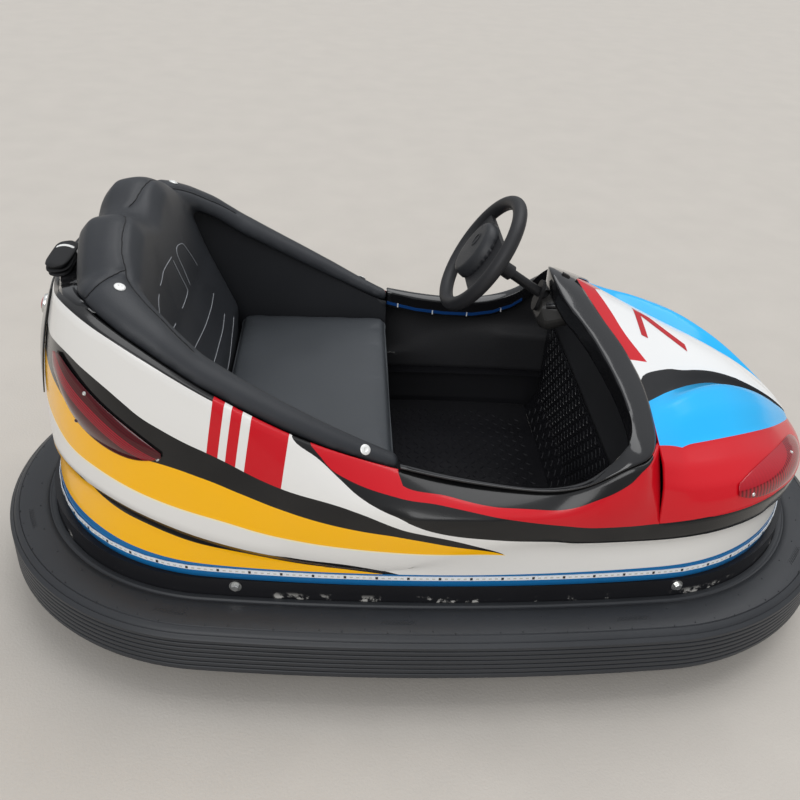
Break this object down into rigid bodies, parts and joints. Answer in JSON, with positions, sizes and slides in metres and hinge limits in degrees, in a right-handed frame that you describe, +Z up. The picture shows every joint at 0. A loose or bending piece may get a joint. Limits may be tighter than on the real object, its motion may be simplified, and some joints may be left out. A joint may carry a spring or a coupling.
{
  "type": "bumper car",
  "caption": "Two-seat fairground bumper car with an oval rubber tyre all round, moulded shell, padded tub seat, steering wheel and swivelling front drive wheel.",
  "frame": {"origin": "on the floor, under the middle of the car's length and width", "axes": "+X to the front of the car, +Y to its left, +Z up"},
  "size_m": [1.95, 1.114, 0.8963],
  "materials": {
    "bumper_rubber": "ribbed black rubber, slightly dusty",
    "black_steel": "black painted steel",
    "tread_plate": "black painted chequer plate",
    "shell_paint": "gloss paint on glass-reinforced plastic: white with yellow, red, black and blue bands",
    "bonnet_paint": "gloss paint: red sides, blue wings, white centre",
    "black_gloss": "gloss black moulding",
    "dash_plastic": "satin grey-black moulding",
    "bright_steel": "bare steel",
    "wheel_rubber": "soft moulded black",
    "grey_casing": "dark grey casing",
    "wheel_tyre": "solid black rubber",
    "cast_hub": "cast aluminium",
    "leatherette": "grey-black leatherette",
    "leatherette_dark": "black leatherette",
    "red_lens": "dark red lens",
    "light_strip": "clear strip of small lamps",
    "light_strip_blue": "blue strip",
    "webbing": "black webbing"
  },
  "bodies": {
    "chassis": {"bumper_tyre": "bumper_rubber", "bumper_rim": "black_steel", "frame_rails": "black_steel", "frame_cross_tubes": "black_steel", "floor_plate": "tread_plate", "toe_board": "tread_plate", "body_shell": "shell_paint", "bonnet": "bonnet_paint", "cockpit_surround": "black_gloss", "dash_pod": "dash_plastic", "column_escutcheon": "black_gloss", "drive_bridge": "black_steel", "rear_axle": "bright_steel", "battery_block": "grey_casing", "seat_base": "black_gloss", "seat_cushion": "leatherette", "backrest": "leatherette", "arm_pad_left": "leatherette", "arm_pad_right": "leatherette", "side_panel_left": "leatherette_dark", "side_panel_right": "leatherette_dark", "headlamp_left": "red_lens", "headlamp_right": "red_lens", "tail_lamp_left": "red_lens", "tail_lamp_right": "red_lens", "rear_panel": "black_gloss", "rear_lamp": "red_lens", "skirt_light_strip": "light_strip", "cockpit_light_strip_left": "light_strip_blue", "cockpit_light_strip_right": "light_strip_blue", "accelerator_pedal": "bright_steel", "strap_bundle": "webbing"},
    "steering": {"steering_shaft": "bright_steel", "steering_wheel": "wheel_rubber", "wheel_hub_pad": "wheel_rubber", "shaft_yoke": "bright_steel"},
    "drive_unit": {"swivel_yoke": "bright_steel", "drive_fork": "black_steel", "drive_motor": "grey_casing"},
    "drive_wheel": {"drive_wheel_tyre": "wheel_tyre", "drive_wheel_hub": "cast_hub"},
    "rear_wheel_left": {"rear_wheel_tyre_left": "wheel_tyre", "rear_wheel_hub_left": "cast_hub"},
    "rear_wheel_right": {"rear_wheel_tyre_right": "wheel_tyre", "rear_wheel_hub_right": "cast_hub"}
  },
  "joints": [
    {"name": "drive_swivel", "type": "hinge", "parent": "chassis", "child": "drive_unit", "pos_m": [0.56, 0, 0.3], "axis": [0, 0, 1], "continuous": true},
    {"name": "steering", "type": "hinge", "parent": "chassis", "child": "steering", "pos_m": [0.092, 0, 0.7765], "axis": [0.8387, 0, -0.5446], "continuous": true},
    {"name": "drive_wheel_spin", "type": "hinge", "parent": "drive_unit", "child": "drive_wheel", "pos_m": [0.56, 0, 0.105], "axis": [0, 1, 0], "continuous": true},
    {"name": "rear_wheel_spin_left", "type": "hinge", "parent": "chassis", "child": "rear_wheel_left", "pos_m": [-0.52, 0.3, 0.072], "axis": [0, 1, 0], "continuous": true},
    {"name": "rear_wheel_spin_right", "type": "hinge", "parent": "chassis", "child": "rear_wheel_right", "pos_m": [-0.52, -0.3, 0.072], "axis": [0, 1, 0], "continuous": true}
  ],
  "couplings": [
    {"joint": "steering", "follows": "drive_swivel", "ratio": -1}
  ]
}
